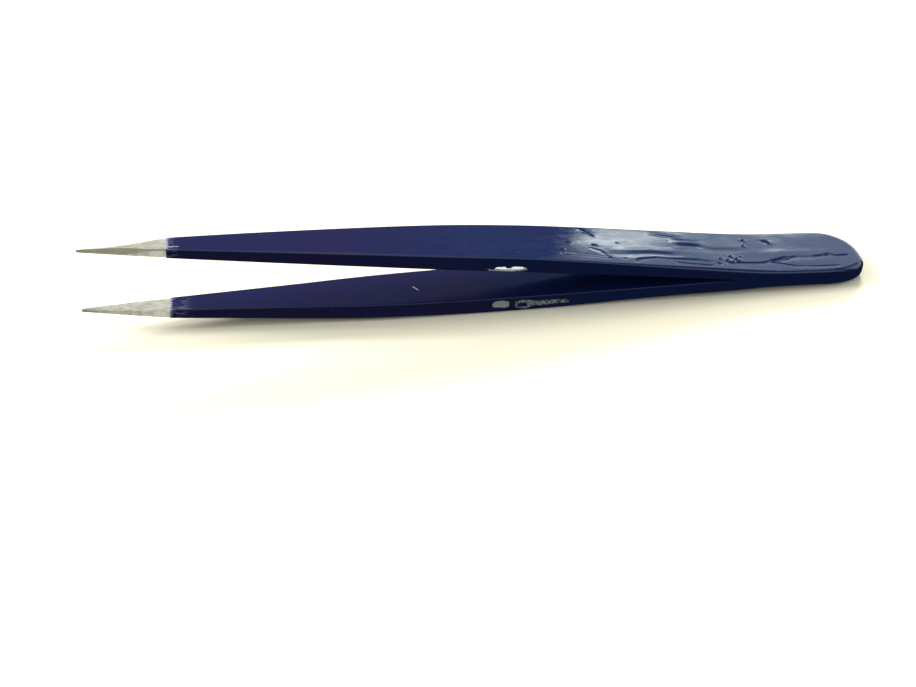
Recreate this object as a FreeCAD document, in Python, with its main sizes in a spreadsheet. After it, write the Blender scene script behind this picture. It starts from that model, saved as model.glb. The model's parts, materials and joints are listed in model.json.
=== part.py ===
"""Precision tweezers: two ground steel blades, welded at the heel and dipped in a plastic coating.

Every piece is drawn in one working frame: x runs from the back of the heel to the points, y is
across the width and z is the way the arms open, with z = 0 on the plane where the points meet.
Only the upper half is drawn. The lower half is its mirror image.
The finished part stands with its lowest point at z = 0, its points towards -X and its heel towards +X.
All sizes are in millimetres and degrees.
"""

import FreeCAD, Part
import math
import os

import Sketcher

DIMS = {
    # along the length, measured from the back of the heel
    "overall_length": 120.0,
    "weld_front": 12.0,
    "outer_bend_start": 13.0,
    "taper_start": 16.0,
    "flexure": 24.0,
    "belly_start": 46.0,
    "outline_shoulder": 62.0,
    "belly_end_outer": 66.0,
    "belly_end_inner": 74.0,
    "nose": 107.2,
    # steel faces, as heights above the meeting plane
    "heel_steel": 1.17,
    "inner_at_belly_start": 1.97,
    "inner_at_belly_end": 3.54,
    "inner_at_nose": 4.76,
    "inner_at_point": 5.18,
    "outer_at_belly_start": 3.85,
    "outer_at_belly_end": 5.16,
    "outer_at_nose": 6.10,
    "outer_at_point": 5.50,
    # splay of the straight spring stretch
    "inner_splay": 3.85,
    "outer_splay": 5.30,
    # steel outline, as half widths
    "half_width_heel": 5.10,
    "half_width_shoulder": 4.17,
    "half_width_belly": 3.62,
    "half_width_nose": 1.50,
    "half_width_point": 0.20,
    # dipped coating
    "coating": 0.25,
    "coating_lip": 0.10,
    # flexure, where a blade's moving arm meets its fixed tang
    "flexure_height": 1.15,
    "knuckle_radius": 1.80,
    "knuckle_clearance": 0.10,
    # spot welds
    "weld_radius": 1.50,
    "weld_depth": 0.40,
    "weld_first": 4.0,
    "weld_pitch": 4.6,
    # blank that the outline is cut from
    "blank_margin": 2.0,
}
WELD_COUNT = 2


class Size:
    """A length that knows both its number and the spreadsheet expression it comes from."""

    def __init__(self, value, text):
        self.value = value
        self.text = text

    def __add__(self, other):
        other = as_size(other)
        return Size(self.value + other.value, f"({self.text} + {other.text})")

    def __sub__(self, other):
        other = as_size(other)
        return Size(self.value - other.value, f"({self.text} - {other.text})")

    def __mul__(self, factor):
        return Size(self.value * factor, f"({self.text} * {factor})")


def as_size(number):
    return number if isinstance(number, Size) else Size(number, str(number))


def cell(alias):
    return Size(DIMS[alias], f"dims.{alias}")


def fill_sheet(doc):
    sheet = doc.addObject("Spreadsheet::Sheet", "dims")
    for row, (alias, value) in enumerate(DIMS.items(), start=1):
        sheet.set(f"A{row}", alias.replace("_", " "))
        sheet.set(f"B{row}", str(value))
        sheet.setAlias(f"B{row}", alias)
    doc.recompute()
    return sheet


# ---------------------------------------------------------------- sketch helpers


def vector(x, y):
    return FreeCAD.Vector(x, y, 0)


def arc_leaving(start, slope_angle, end):
    """Circular arc from start, where it runs at slope_angle, to end, as three points."""
    chord = end - start
    chord_angle = math.atan2(chord.y, chord.x)
    half_turn = chord_angle - slope_angle
    sag = 0.5 * chord.Length * math.tan(half_turn / 2)
    normal = vector(chord.y, -chord.x).normalize()
    return start, start + chord * 0.5 + normal * sag, end


def end_angle(start, slope_angle, end):
    """Slope angle at the end of the arc that arc_leaving gives."""
    chord = end - start
    return 2 * math.atan2(chord.y, chord.x) - slope_angle


class Chain:
    """Lines and arcs drawn end to end in one sketch, from a first corner onwards."""

    def __init__(self, sketch):
        self.sketch = sketch
        self.ends = []

    def add(self, curve, start, smooth):
        """Adds a curve that starts at a point. A smooth one leaves the last curve without a kink."""
        index = self.sketch.addGeometry(curve, False)
        ends = (self.sketch.getPoint(index, 1), self.sketch.getPoint(index, 2))
        forwards = ends[0].distanceToPoint(start) < ends[1].distanceToPoint(start)
        first, last = (1, 2) if forwards else (2, 1)
        if self.ends:
            self.join(self.ends[-1], (index, first, last), smooth)
        self.ends.append((index, first, last))
        return index

    def line(self, start, end, smooth=False):
        return self.add(Part.LineSegment(start, end), start, smooth)

    def arc(self, start, middle, end, smooth=False):
        return self.add(Part.Arc(start, middle, end), start, smooth)

    def join(self, earlier, later, smooth):
        kind = "Tangent" if smooth else "Coincident"
        self.sketch.addConstraint(Sketcher.Constraint(kind, earlier[0], earlier[2], later[0], later[1]))

    def close(self):
        self.join(self.ends[-1], self.ends[0], False)

    def place_start(self, number, x, y):
        index, first, _ = self.ends[number]
        fix_point(self.sketch, index, first, x, y)

    def place_end(self, number, x, y):
        index, _, last = self.ends[number]
        fix_point(self.sketch, index, last, x, y)


def bind(sketch, constraint, size):
    """Adds a constraint whose value follows the spreadsheet."""
    number = sketch.addConstraint(constraint)
    sketch.setExpression(f"Constraints[{number}]", size.text)


def fix_point(sketch, index, end, x, y):
    """Holds one end of a curve at (x, y) from the sketch's origin. None leaves a way free."""
    if x is not None:
        bind(sketch, Sketcher.Constraint("DistanceX", -1, 1, index, end, x.value), x)
    if y is not None and y.value:
        bind(sketch, Sketcher.Constraint("DistanceY", -1, 1, index, end, y.value), y)
    if y is not None and not y.value:
        sketch.addConstraint(Sketcher.Constraint("PointOnObject", index, end, -1))


def fix_angle(sketch, index, angle):
    """Holds the slope of a line that was drawn from the heel towards the points."""
    radians = math.radians(angle.value)
    number = sketch.addConstraint(Sketcher.Constraint("Angle", index, radians))
    sketch.setExpression(f"Constraints[{number}]", f"{angle.text} * 1 deg")


def fix_knuckle(sketch, index, radius):
    """Holds a knuckle arc's centre on the flexure and sets its radius."""
    fix_point(sketch, index, 3, cell("flexure"), cell("flexure_height"))
    bind(sketch, Sketcher.Constraint("Radius", index, radius.value), radius)


def body_sketch(body, name, plane_role):
    """A sketch on one of the body's own origin planes."""
    plane = next(f for f in body.Origin.OriginFeatures if f.Role == plane_role)
    sketch = body.newObject("Sketcher::SketchObject", name)
    sketch.AttachmentSupport = [(plane, "")]
    sketch.MapMode = "FlatFace"
    return sketch


def on_knuckle(radius, through, angle):
    """Where a straight face at this angle crosses the knuckle circle, on its heel side."""
    centre = vector(DIMS["flexure"], DIMS["flexure_height"])
    along = vector(math.cos(angle), math.sin(angle))
    offset = through - centre
    reach = offset.dot(along)
    return through - along * (reach + math.sqrt(reach**2 - offset.dot(offset) + radius**2))


# ---------------------------------------------------------------- side profiles


def arm_corners(skin):
    """Faces of the moving arm as sizes: bare steel, or with the coating's skin added."""
    coat = cell("coating") if skin else Size(0.0, "0")
    lip = cell("coating_lip") if skin else Size(0.0, "0")
    return {
        "inner_start": (cell("belly_start"), cell("inner_at_belly_start") - coat),
        "inner_end": (cell("belly_end_inner"), cell("inner_at_belly_end") - coat),
        "inner_nose": (cell("nose"), cell("inner_at_nose") - lip),
        "outer_nose": (cell("nose"), cell("outer_at_nose") + lip),
        "outer_end": (cell("belly_end_outer"), cell("outer_at_belly_end") + coat),
        "outer_start": (cell("belly_start"), cell("outer_at_belly_start") + coat),
    }


def draw_arm_profile(sketch, skin):
    """Side view of a moving arm, from its round knuckle to the points or to the coating's lip."""
    sizes = arm_corners(skin)
    at = {name: vector(x.value, y.value) for name, (x, y) in sizes.items()}
    inner = math.radians(DIMS["inner_splay"])
    outer = math.radians(DIMS["outer_splay"])
    radius = DIMS["knuckle_radius"]
    rear_inner = on_knuckle(radius, at["inner_start"], inner)
    rear_outer = on_knuckle(radius, at["outer_start"], outer)
    rear_middle = vector(DIMS["flexure"] - radius, DIMS["flexure_height"])
    bow_angle = end_angle(at["outer_start"], outer, at["outer_end"])
    _, bow_middle, _ = arc_leaving(at["outer_end"], bow_angle, at["outer_nose"])
    _, belly_middle, _ = arc_leaving(at["outer_start"], outer, at["outer_end"])

    chain = Chain(sketch)
    inner_face = chain.line(rear_inner, at["inner_start"])
    chain.arc(*arc_leaving(at["inner_start"], inner, at["inner_end"]), smooth=True)
    chain.line(at["inner_end"], at["inner_nose"])
    chain.place_end(0, *sizes["inner_start"])
    chain.place_end(1, *sizes["inner_end"])
    chain.place_end(2, *sizes["inner_nose"])
    if skin:
        chain.line(at["inner_nose"], at["outer_nose"])
    else:
        point_inner = vector(DIMS["overall_length"], DIMS["inner_at_point"])
        point_outer = vector(DIMS["overall_length"], DIMS["outer_at_point"])
        chain.line(at["inner_nose"], point_inner)
        chain.line(point_inner, point_outer)
        chain.line(point_outer, at["outer_nose"])
        chain.place_end(3, cell("overall_length"), cell("inner_at_point"))
        chain.place_end(4, cell("overall_length"), cell("outer_at_point"))
    bow = len(chain.ends)
    chain.arc(at["outer_nose"], bow_middle, at["outer_end"])
    chain.arc(at["outer_end"], belly_middle, at["outer_start"], smooth=True)
    outer_face = chain.line(at["outer_start"], rear_outer, smooth=True)
    knuckle = chain.arc(rear_outer, rear_middle, rear_inner)
    chain.close()
    chain.place_start(bow, *sizes["outer_nose"])
    chain.place_start(bow + 1, *sizes["outer_end"])
    chain.place_start(bow + 2, *sizes["outer_start"])
    fix_angle(sketch, inner_face, cell("inner_splay"))
    # this face is drawn from the belly back to the heel, so it points half a turn round
    fix_angle(sketch, outer_face, cell("outer_splay") + 180)
    fix_knuckle(sketch, knuckle, cell("knuckle_radius"))


def bend_end(start, through, angle):
    """End of the arc that leaves start level and meets the sloping face through a point."""
    rise = through.y - start.y - (through.x - start.x) * math.tan(angle)
    reach = -rise / (math.tan(angle) - math.tan(angle / 2))
    return vector(start.x + reach, start.y + reach * math.tan(angle / 2))


def draw_heel_profile(sketch, skin):
    """Side view of the fixed heel, from its back to the hollow seat around the arm's knuckle."""
    coat = cell("coating") if skin else Size(0.0, "0")
    back = Size(0.0, "0") if skin else cell("coating")
    ground = Size(0.0, "0")
    thickness = cell("heel_steel") + coat
    sizes = arm_corners(skin)
    radius = cell("knuckle_radius") + cell("knuckle_clearance")
    inner = math.radians(DIMS["inner_splay"])
    outer = math.radians(DIMS["outer_splay"])
    inner_start = vector(sizes["inner_start"][0].value, sizes["inner_start"][1].value)
    outer_start = vector(sizes["outer_start"][0].value, sizes["outer_start"][1].value)
    level_end = vector(DIMS["outer_bend_start"], thickness.value)
    outer_bend = bend_end(level_end, outer_start, outer)
    seat_outer = on_knuckle(radius.value, outer_start, outer)
    seat_middle = vector(DIMS["flexure"] - radius.value, DIMS["flexure_height"])
    seat_inner = on_knuckle(radius.value, inner_start, inner)
    back_low = vector(back.value, 0)
    back_high = vector(back.value, thickness.value)

    chain = Chain(sketch)
    chain.line(back_low, back_high)
    chain.line(back_high, level_end)
    chain.arc(*arc_leaving(level_end, 0.0, outer_bend), smooth=True)
    outer_face = chain.line(outer_bend, seat_outer, smooth=True)
    seat = chain.arc(seat_outer, seat_middle, seat_inner)
    chain.place_start(0, back, ground)
    chain.place_end(0, back, thickness)
    chain.place_end(1, cell("outer_bend_start"), thickness)
    if skin:
        crotch = vector(inner_start.x - inner_start.y / math.tan(inner), 0)
        inner_face = chain.line(seat_inner, crotch)
        chain.place_end(5, None, ground)
        chain.line(crotch, back_low)
    else:
        weld_end = vector(DIMS["weld_front"], 0)
        inner_bend = bend_end(weld_end, inner_start, inner)
        _, bend_middle, _ = arc_leaving(weld_end, 0.0, inner_bend)
        inner_face = chain.line(seat_inner, inner_bend)
        chain.arc(inner_bend, bend_middle, weld_end, smooth=True)
        chain.place_end(6, cell("weld_front"), ground)
        chain.line(weld_end, back_low, smooth=True)
    chain.close()
    fix_angle(sketch, outer_face, cell("outer_splay"))
    fix_angle(sketch, inner_face, cell("inner_splay") + 180)
    hold_on_face(sketch, outer_face, sizes["outer_start"])
    hold_on_face(sketch, inner_face, sizes["inner_start"])
    fix_knuckle(sketch, seat, radius)


def hold_on_face(sketch, face, corner):
    """Keeps a face of the fixed heel in line with the same face of the moving arm."""
    x, y = corner
    index = sketch.addGeometry(Part.Point(vector(x.value, y.value)), True)
    fix_point(sketch, index, 1, x, y)
    sketch.addConstraint(Sketcher.Constraint("PointOnObject", index, 1, face))


# ---------------------------------------------------------------- outlines in plan


def draw_frame(sketch):
    """Rectangle larger than the blank, so that a pocket removes all outside the outline."""
    margin = cell("blank_margin") * 2
    far = cell("overall_length") + margin
    half = cell("half_width_heel") + margin
    low = vector(-margin.value, -half.value)
    high = vector(far.value, half.value)
    chain = Chain(sketch)
    chain.line(low, vector(high.x, low.y))
    chain.line(vector(high.x, low.y), high)
    chain.line(high, vector(low.x, high.y))
    chain.line(vector(low.x, high.y), low)
    chain.close()
    for number, way in enumerate(("Horizontal", "Vertical", "Horizontal", "Vertical")):
        sketch.addConstraint(Sketcher.Constraint(way, chain.ends[number][0]))
    first = chain.ends[0][0]
    bind(sketch, Sketcher.Constraint("DistanceX", first, 1, -1, 1, margin.value), margin)
    bind(sketch, Sketcher.Constraint("DistanceY", first, 1, -1, 1, half.value), half)
    chain.place_end(1, far, half)


def mirror_ends(sketch, chain, pairs):
    """Each pair of (curve, end) lies at the same place on the two sides of the centre line."""
    for (curve_a, end_a), (curve_b, end_b) in pairs:
        a = chain.ends[curve_a]
        b = chain.ends[curve_b]
        sketch.addConstraint(Sketcher.Constraint("Symmetric", a[0], a[end_a], b[0], b[end_b], -1))


def draw_arm_outline(sketch, skin):
    """Plan view of an arm: nearly parallel sides, a shoulder, and a long taper to the point."""
    coat = cell("coating") if skin else Size(0.0, "0")
    lip = cell("coating_lip") if skin else Size(0.0, "0")
    corners = [
        (cell("taper_start"), cell("half_width_heel") + coat),
        (cell("outline_shoulder"), cell("half_width_shoulder") + coat),
        (cell("belly_end_inner"), cell("half_width_belly") + coat),
        (cell("nose"), cell("half_width_nose") + lip),
    ]
    if not skin:
        corners.append((cell("overall_length"), cell("half_width_point")))
    top = [vector(x.value, y.value) for x, y in corners]
    low = [vector(p.x, -p.y) for p in top]
    side_angle = math.atan2(top[1].y - top[0].y, top[1].x - top[0].x)
    _, shoulder, _ = arc_leaving(top[1], side_angle, top[2])

    draw_frame(sketch)
    chain = Chain(sketch)
    last = len(top) - 1
    chain.line(top[0], top[1])
    chain.arc(top[1], shoulder, top[2], smooth=True)
    for n in range(2, last):
        chain.line(top[n], top[n + 1])
    chain.line(top[last], low[last])
    for n in range(last, 2, -1):
        chain.line(low[n], low[n - 1])
    chain.arc(low[2], vector(shoulder.x, -shoulder.y), low[1])
    chain.line(low[1], low[0], smooth=True)
    chain.line(low[0], top[0])
    chain.close()
    for n, (x, y) in enumerate(corners):
        chain.place_start(n, x, y)
    across = len(chain.ends) - 2
    mirror_ends(sketch, chain, [((n, 1), (across - n, 2)) for n in range(last + 1)])


def draw_heel_outline(sketch, skin):
    """Plan view of the heel: a half round back, parallel sides and the start of the taper."""
    coat = cell("coating") if skin else Size(0.0, "0")
    back = Size(0.0, "0") if skin else cell("coating")
    radius = cell("half_width_heel") + coat
    centre = back + radius
    shoulder = (cell("outline_shoulder"), cell("half_width_shoulder") + coat)
    taper = (shoulder[1].value - radius.value) / (shoulder[0].value - DIMS["taper_start"])
    front_half = radius.value + taper * (DIMS["flexure"] - DIMS["taper_start"])
    top = [
        vector(centre.value, radius.value),
        vector(DIMS["taper_start"], radius.value),
        vector(DIMS["flexure"], front_half),
    ]
    low = [vector(p.x, -p.y) for p in top]

    draw_frame(sketch)
    chain = Chain(sketch)
    chain.line(low[0], low[1])
    chain.line(low[1], low[2])
    chain.line(low[2], top[2])
    side = chain.line(top[2], top[1])
    chain.line(top[1], top[0])
    chain.arc(top[0], vector(back.value, 0), low[0], smooth=True)
    chain.close()
    chain.place_end(2, cell("flexure"), None)
    chain.place_end(3, cell("taper_start"), radius)
    chain.place_end(4, centre, radius)
    mirror_ends(sketch, chain, [((4, 2), (0, 1)), ((4, 1), (0, 2)), ((2, 2), (2, 1))])
    hold_on_face(sketch, side, shoulder)


# ---------------------------------------------------------------- pieces


def half_body(doc, label, draw_profile, draw_outline, skin):
    """A piece padded from its side view, with its outline cut in plan."""
    body = doc.addObject("PartDesign::Body", label)
    body.Label = label
    profile = body_sketch(body, f"{label}_profile", "XZ_Plane")
    draw_profile(profile, skin)
    pad = body.newObject("PartDesign::Pad", f"{label}_pad")
    pad.Profile = profile
    pad.SideType = "Symmetric"
    blank = (cell("half_width_heel") + cell("blank_margin")) * 2
    pad.setExpression("Length", blank.text)
    doc.recompute()
    blank_volume = pad.Shape.Volume
    outline = body_sketch(body, f"{label}_outline", "XY_Plane")
    draw_outline(outline, skin)
    cut = body.newObject("PartDesign::Pocket", f"{label}_cut")
    cut.Profile = outline
    cut.SideType = "Symmetric"
    cut.Type = "ThroughAll"
    body.Tip = cut
    doc.recompute()
    if not 0 < cut.Shape.Volume < blank_volume:
        raise RuntimeError(f"{label}: the outline cut nothing")
    return body


def weld_seats(doc, body):
    """Round pockets in a tang's joint face, one for each spot weld."""
    before = body.Tip.Shape.Volume
    sketch = body_sketch(body, "weld_seats", "XY_Plane")
    for n in range(WELD_COUNT):
        centre = cell("weld_first") + cell("weld_pitch") * n
        circle = Part.Circle(vector(centre.value, 0), FreeCAD.Vector(0, 0, 1), DIMS["weld_radius"])
        index = sketch.addGeometry(circle, False)
        fix_point(sketch, index, 3, centre, Size(0.0, "0"))
        radius = cell("weld_radius")
        bind(sketch, Sketcher.Constraint("Radius", index, radius.value), radius)
    seats = body.newObject("PartDesign::Pocket", "weld_seat_cut")
    seats.Profile = sketch
    seats.Reversed = True
    seats.setExpression("Length", "dims.weld_depth")
    body.Tip = seats
    doc.recompute()
    if not seats.Shape.Volume < before:
        raise RuntimeError("the weld seats cut nothing")


def spot_welds(doc):
    """Weld nuggets across the joint between the two tangs."""
    nuggets = []
    for n in range(WELD_COUNT):
        nugget = doc.addObject("Part::Cylinder", f"weld_nugget_{n + 1}")
        centre = cell("weld_first") + cell("weld_pitch") * n
        nugget.setExpression("Radius", "dims.weld_radius")
        nugget.setExpression("Height", "dims.weld_depth * 2")
        nugget.setExpression("Placement.Base.x", centre.text)
        nugget.setExpression("Placement.Base.z", "-dims.weld_depth")
        nuggets.append(nugget)
    group = doc.addObject("Part::Compound", "spot_welds")
    group.Label = "spot_welds"
    group.Links = nuggets
    return group


def boolean(doc, kind, label, base, tool):
    made = doc.addObject(kind, label)
    made.Label = label
    made.Base = base
    made.Tool = tool
    return made


def mirrored(doc, label, source):
    """The same piece on the lower side of the meeting plane."""
    made = doc.addObject("Part::Mirroring", label)
    made.Label = label
    made.Source = source
    made.Base = FreeCAD.Vector(0, 0, 0)
    made.Normal = FreeCAD.Vector(0, 0, 1)
    return made


def build(doc):
    """All pieces in the working frame, by node name."""
    blade = half_body(doc, "upper_blade", draw_arm_profile, draw_arm_outline, False)
    tang = half_body(doc, "upper_heel_tang", draw_heel_profile, draw_heel_outline, False)
    weld_seats(doc, tang)
    welds = spot_welds(doc)

    arm_skin = half_body(doc, "arm_skin", draw_arm_profile, draw_arm_outline, True)
    arm_coating = boolean(doc, "Part::Cut", "upper_arm_coating", arm_skin, blade)

    heel_skin = half_body(doc, "heel_skin", draw_heel_profile, draw_heel_outline, True)
    tang_and_welds = boolean(doc, "Part::Fuse", "tang_and_welds", tang, welds)
    upper_half = boolean(doc, "Part::Cut", "heel_coating_upper", heel_skin, tang_and_welds)
    lower_half = mirrored(doc, "heel_coating_lower", upper_half)
    heel_coating = boolean(doc, "Part::Fuse", "heel_coating", upper_half, lower_half)
    heel_coating.Refine = True

    return {
        "upper_blade": blade,
        "lower_blade": mirrored(doc, "lower_blade", blade),
        "upper_heel_tang": tang,
        "lower_heel_tang": mirrored(doc, "lower_heel_tang", tang),
        "spot_welds": welds,
        "upper_arm_coating": arm_coating,
        "lower_arm_coating": mirrored(doc, "lower_arm_coating", arm_coating),
        "heel_coating": heel_coating,
    }


def check(doc, pieces):
    """Stops the build if any object failed or any piece isn't a set of valid closed solids."""
    for item in doc.Objects:
        if "Invalid" in item.State or "Error" in item.State:
            raise RuntimeError(f"{item.Name} failed: {item.State}")
    for label, item in pieces.items():
        shape = item.Shape
        if shape.isNull() or not shape.isValid() or not shape.Solids:
            raise RuntimeError(f"{label} has no valid solid")


def to_part_frame():
    """Carries the working frame to the finished part's own frame."""
    mid_height = DIMS["outer_at_nose"] + DIMS["coating_lip"]
    half_turn = FreeCAD.Rotation(FreeCAD.Vector(0, 0, 1), 180)
    return FreeCAD.Placement(FreeCAD.Vector(DIMS["overall_length"] / 2, 0, mid_height), half_turn)


def main():
    doc = FreeCAD.newDocument("precision_tweezers")
    fill_sheet(doc)
    pieces = build(doc)
    doc.recompute()
    check(doc, pieces)
    os.makedirs("parts", exist_ok=True)
    stand = to_part_frame()
    for label, item in pieces.items():
        shape = item.Shape.copy()
        shape.Placement = stand.multiply(shape.Placement)
        shape.exportStep(os.path.join("parts", f"{label}.step"))
        box = shape.BoundBox
        print(
            f"{label}: {len(shape.Solids)} solid(s), {shape.Volume:.1f} mm3, "
            f"x {box.XMin:.2f}..{box.XMax:.2f}, y {box.YMin:.2f}..{box.YMax:.2f}, "
            f"z {box.ZMin:.3f}..{box.ZMax:.3f}"
        )


main()
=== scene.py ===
"""Precision tweezers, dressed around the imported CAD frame: ground steel blades and a dipped navy coating.

Everything is in the row frame: points towards -X, heel towards +X, arms opening along Z.
Shapes are worked out in millimetres as (s, y, h): s runs from the back of the heel towards the points,
y across the width with the near side negative, and h away from the plane where the points meet.
put() carries them to the row frame in metres. Each mesh keeps its (s, y, h) in an attribute, place,
which the materials read, so their detail stays with the surface when the arms bend. A second attribute,
worn, says where coating or steel has been taken away.
"""

import json
import math

import bmesh
import bpy
import numpy as np
from mathutils import Matrix, Vector, noise


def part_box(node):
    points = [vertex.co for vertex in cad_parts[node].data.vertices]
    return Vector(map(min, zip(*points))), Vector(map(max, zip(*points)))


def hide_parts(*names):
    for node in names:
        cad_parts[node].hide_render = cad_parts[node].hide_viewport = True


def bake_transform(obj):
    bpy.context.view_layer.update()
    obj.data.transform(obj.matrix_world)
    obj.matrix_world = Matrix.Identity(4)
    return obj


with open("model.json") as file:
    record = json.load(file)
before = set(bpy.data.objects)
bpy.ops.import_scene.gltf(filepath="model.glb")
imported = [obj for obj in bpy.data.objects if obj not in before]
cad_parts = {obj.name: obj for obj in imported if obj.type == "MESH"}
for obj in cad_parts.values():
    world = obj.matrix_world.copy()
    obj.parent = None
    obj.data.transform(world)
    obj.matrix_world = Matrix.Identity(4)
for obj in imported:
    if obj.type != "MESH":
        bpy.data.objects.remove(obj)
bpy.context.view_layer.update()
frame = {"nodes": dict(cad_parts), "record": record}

MM = 0.001


def mount(name):
    return next(m for m in frame["record"]["mounts"] if m["name"] == name)


# ---------------------------------------------------------------- sizes, in mm

HEEL_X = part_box("heel_coating")[1].x
MEETING_Z = mount("jaw_tips")["pos_m"][2]
LENGTH = (HEEL_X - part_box("upper_blade")[0].x) / MM
NOSE = (HEEL_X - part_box("upper_arm_coating")[0].x) / MM
NOSE_HEIGHT = (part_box("upper_arm_coating")[1].z - MEETING_Z) / MM
NOSE_STEEL = (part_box("upper_blade")[1].z - MEETING_Z) / MM
HEEL_HALF_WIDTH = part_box("heel_coating")[1].y / MM
COATING = HEEL_HALF_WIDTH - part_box("upper_heel_tang")[1].y / MM
HEEL_HALF_DEPTH = (mount("heel_upper_face")["pos_m"][2] - MEETING_Z) / MM
LIP = NOSE_HEIGHT - NOSE_STEEL
POINT_HALF_WIDTH = 0.20

TAPER_START = 16.0
BELLY_START = 46.0
SHOULDER = 62.0
BELLY_END_OUTER = 66.0
BELLY_END_INNER = 74.0
INNER_SLOPE = math.tan(math.radians(3.85))
OUTER_SLOPE = math.tan(math.radians(5.30))
SIDE_SLOPE = -0.0202
INNER_AT_BELLY = 1.72
CROTCH = BELLY_START - INNER_AT_BELLY / INNER_SLOPE
STEEL_PARTS = BELLY_START - (INNER_AT_BELLY + COATING) / INNER_SLOPE
WEB_RADIUS = 0.12

# the back of the heel in plan: two quarter ovals that meet at its hindmost point, squarer below roundness 1
HEEL_BACK = 0.35
HEEL_APEX_Y = -1.6
HEEL_NEAR_LENGTH = 7.0
HEEL_FAR_LENGTH = 7.2
HEEL_ROUNDNESS = 0.80

# smallest radii of the steel's inner and outer corners
STEEL_EDGE = 0.03
STEEL_CORNER = 0.04
# the most of a point's half-width and thickness that its ground corners take
FACET_WIDTH_SHARE = 0.95
FACET_DEPTH_SHARE = 0.75

# the stretch of the arms with worn places, where the mesh is finer
WEAR_FRONT = 60.6
WEAR_BACK = BELLY_START


def track(*knots):
    """Smooth curve through (place, value, slope) knots, as a function of place."""
    at, value, slope = (np.array(column, float) for column in zip(*knots))

    def curve(s):
        s = np.asarray(s, float)
        i = np.clip(np.searchsorted(at, s, side="right") - 1, 0, len(at) - 2)
        span = at[i + 1] - at[i]
        t = np.clip((s - at[i]) / span, 0, 1)
        start = (1 + 2 * t) * (1 - t) ** 2 * value[i] + t * (1 - t) ** 2 * span * slope[i]
        return start + t * t * (3 - 2 * t) * value[i + 1] + t * t * (t - 1) * span * slope[i + 1]

    return curve


def ramp(low, high, s):
    """0 below low, 1 above high, smooth between."""
    t = np.clip((np.asarray(s, float) - low) / (high - low), 0, 1)
    return t * t * (3 - 2 * t)


coat_thickness = track((0, COATING, 0), (BELLY_END_INNER, COATING, 0), (NOSE, LIP, -0.006))
outer_height = track(
    (0, HEEL_HALF_DEPTH, 0),
    (13.0, HEEL_HALF_DEPTH, 0),
    (21.2, 1.80, OUTER_SLOPE),
    (BELLY_START, 4.16, OUTER_SLOPE),
    (BELLY_END_OUTER, 5.41, 0.0382),
    (NOSE, NOSE_HEIGHT, 0.0074),
)
inner_line = track(
    (STEEL_PARTS, -COATING, INNER_SLOPE),
    (BELLY_START, INNER_AT_BELLY, INNER_SLOPE),
    (BELLY_END_INNER, 3.29, 0.0432),
    (NOSE, 4.66, 0.0410),
)
half_width = track(
    (0, HEEL_HALF_WIDTH, 0),
    (TAPER_START, HEEL_HALF_WIDTH, SIDE_SLOPE),
    (SHOULDER, 4.42, SIDE_SLOPE),
    (BELLY_END_INNER, 3.89, -0.0600),
    (NOSE, 1.60, -0.0765),
)
point_outer = track((NOSE, NOSE_STEEL, -0.01), (111.0, 5.94, -0.045), (LENGTH, 5.50, -0.047))
point_inner = track((NOSE, 4.76, 0.033), (LENGTH, 5.18, 0.033))
point_width = track(
    (NOSE, 1.50, -0.072), (112.0, 1.10, -0.100), (117.0, 0.55, -0.115), (LENGTH, POINT_HALF_WIDTH, -0.115)
)
# how far the grinding of a point's outer corners reaches in from its sides
point_bevel = track(
    (NOSE, 0.14, 0), (109.4, 0.20, 0.10), (111.0, 0.42, 0.14), (113.5, 0.62, 0), (LENGTH, 0.15, -0.08)
)


def inner_height(s):
    """Height of an arm's inner coated face, with a small pooled web where the arms part."""
    s = np.asarray(s, float)
    line = inner_line(s)
    centre = CROTCH + WEB_RADIUS / math.sin(math.atan(INNER_SLOPE))
    web = np.sqrt(np.clip(WEB_RADIUS**2 - (s - centre) ** 2, 0, None))
    behind = np.where(s < centre - WEB_RADIUS, 0.0, web)
    return np.where(s < centre, behind, np.maximum(line, 0.0))


def steel_outer(s):
    return np.where(s < NOSE, outer_height(s) - coat_thickness(s), point_outer(s))


def steel_inner(s):
    covered = np.where(s < STEEL_PARTS, 0.0, np.maximum(0.0, inner_line(s) + coat_thickness(s)))
    return np.where(s < NOSE, covered, point_inner(s))


def steel_half_width(s):
    return np.where(s < NOSE, half_width(s) - coat_thickness(s), point_width(s))


def underside_pool(s):
    """Coating that ran to the lower side and set there: ahead of the heel, and in front of the belly."""
    return 0.34 * np.exp(-(((s - 21.5) / 8.0) ** 2)) + 0.15 * np.exp(-(((s - 84.0) / 10.0) ** 2))


def lower_spread(s):
    """How much wider the lower arm's coating set on each side, under its belly."""
    return 0.20 * np.exp(-(((s - 77.0) / 9.0) ** 2))


def put(s, y, h, side):
    """Row-frame points. side is 1 for the upper half and -1 for the lower."""
    return np.stack([HEEL_X - s * MM, y * MM, MEETING_Z + side * h * MM], axis=-1)


# ---------------------------------------------------------------- outlines and sections


def steps(*stretches):
    """Places along a line: each stretch is (start, end, spacing), joined end to end."""
    places = []
    for start, end, spacing in stretches:
        count = max(1, round(abs(end - start) / spacing))
        places.extend(np.linspace(start, end, count, endpoint=False))
    places.append(stretches[-1][1])
    return np.array(places)


class Rim:
    """Points around an outline in plan, each with the place on the centre line that it looks to."""

    def __init__(self, edge_s, edge_y, heart_s):
        self.s = edge_s
        self.y = edge_y
        self.heart = heart_s
        self.reach = np.hypot(edge_s - heart_s, edge_y)

    def at(self, inset):
        """Plan positions at distances in from the edge, one row of them for each outline point."""
        share = inset / self.reach[:, None]
        edge_s = self.s[:, None]
        return edge_s + (self.heart[:, None] - edge_s) * share, self.y[:, None] * (1 - share)

    def outward(self):
        """Unit vectors out of the outline, in plan."""
        along = np.stack([self.s - self.heart, self.y], axis=1)
        return along / np.linalg.norm(along, axis=1)[:, None]


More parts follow.
